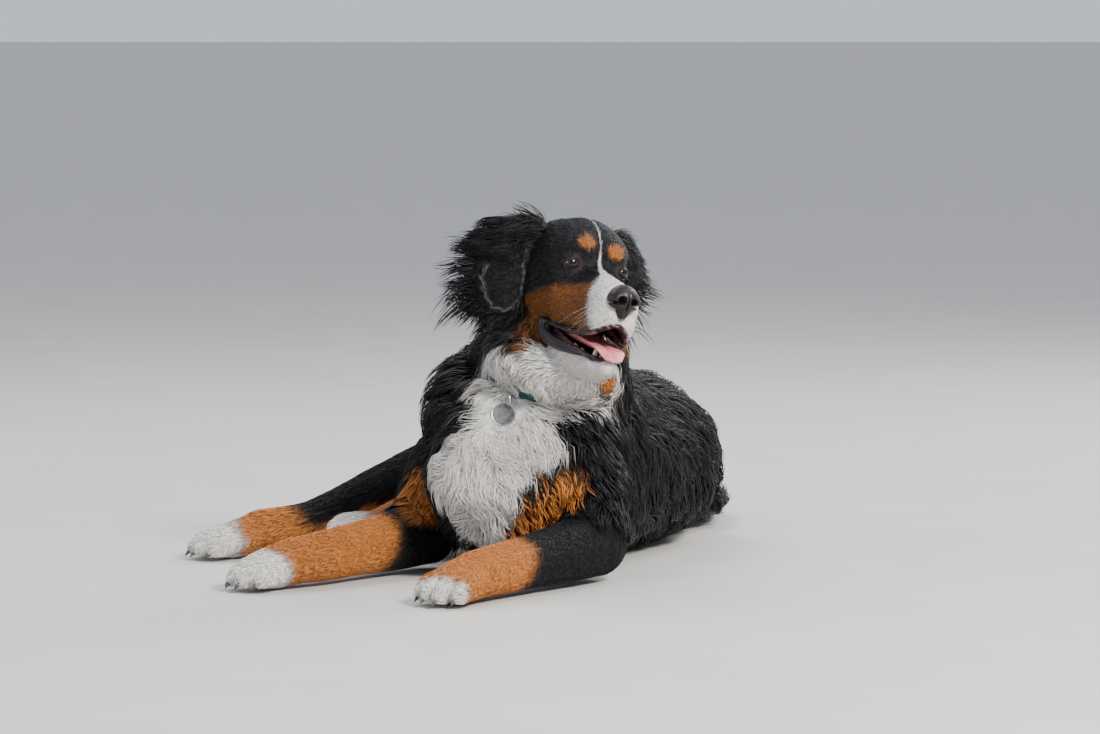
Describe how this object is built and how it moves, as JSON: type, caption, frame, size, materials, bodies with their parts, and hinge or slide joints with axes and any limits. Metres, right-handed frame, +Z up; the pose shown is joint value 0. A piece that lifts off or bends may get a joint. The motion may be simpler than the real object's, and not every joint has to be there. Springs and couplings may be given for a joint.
{
  "type": "bernese mountain dog",
  "caption": "Still life-size model of a young Bernese mountain dog lying with its chest up, head turned and mouth open, wearing a collar with a bare tag.",
  "frame": {"origin": "the middle of the flat under the brisket, at floor level", "axes": "X to the dog's left, Y toward its tail, Z up; the dog faces -Y"},
  "size_m": [0.6859, 1.2028, 0.4847],
  "materials": {
    "black_coat": "long soft black hair with a faint blue sheen",
    "white_coat": "soft white hair",
    "rust_coat": "short rust-brown hair",
    "nose_leather": "moist pebbled black skin",
    "eye": "wet dark brown",
    "tongue": "moist pink",
    "collar_webbing": "flat woven webbing",
    "steel": "polished"
  },
  "bodies": {
    "root": {"torso": "black_coat", "neck": "black_coat", "head": "black_coat", "ear_right": "black_coat", "ear_left": "black_coat", "eye_right": "eye", "eye_left": "eye", "nose": "nose_leather", "lower_jaw": "white_coat", "tongue": "tongue", "foreleg_right": "black_coat", "foreleg_left": "black_coat", "forepaw_right": "rust_coat", "forepaw_left": "rust_coat", "hindleg_right": "black_coat", "hindleg_left": "black_coat", "hindpaw_right": "rust_coat", "hindpaw_left": "rust_coat", "tail": "black_coat", "collar": "collar_webbing", "collar_ring": "steel", "tag": "steel"}
  },
  "joints": []
}
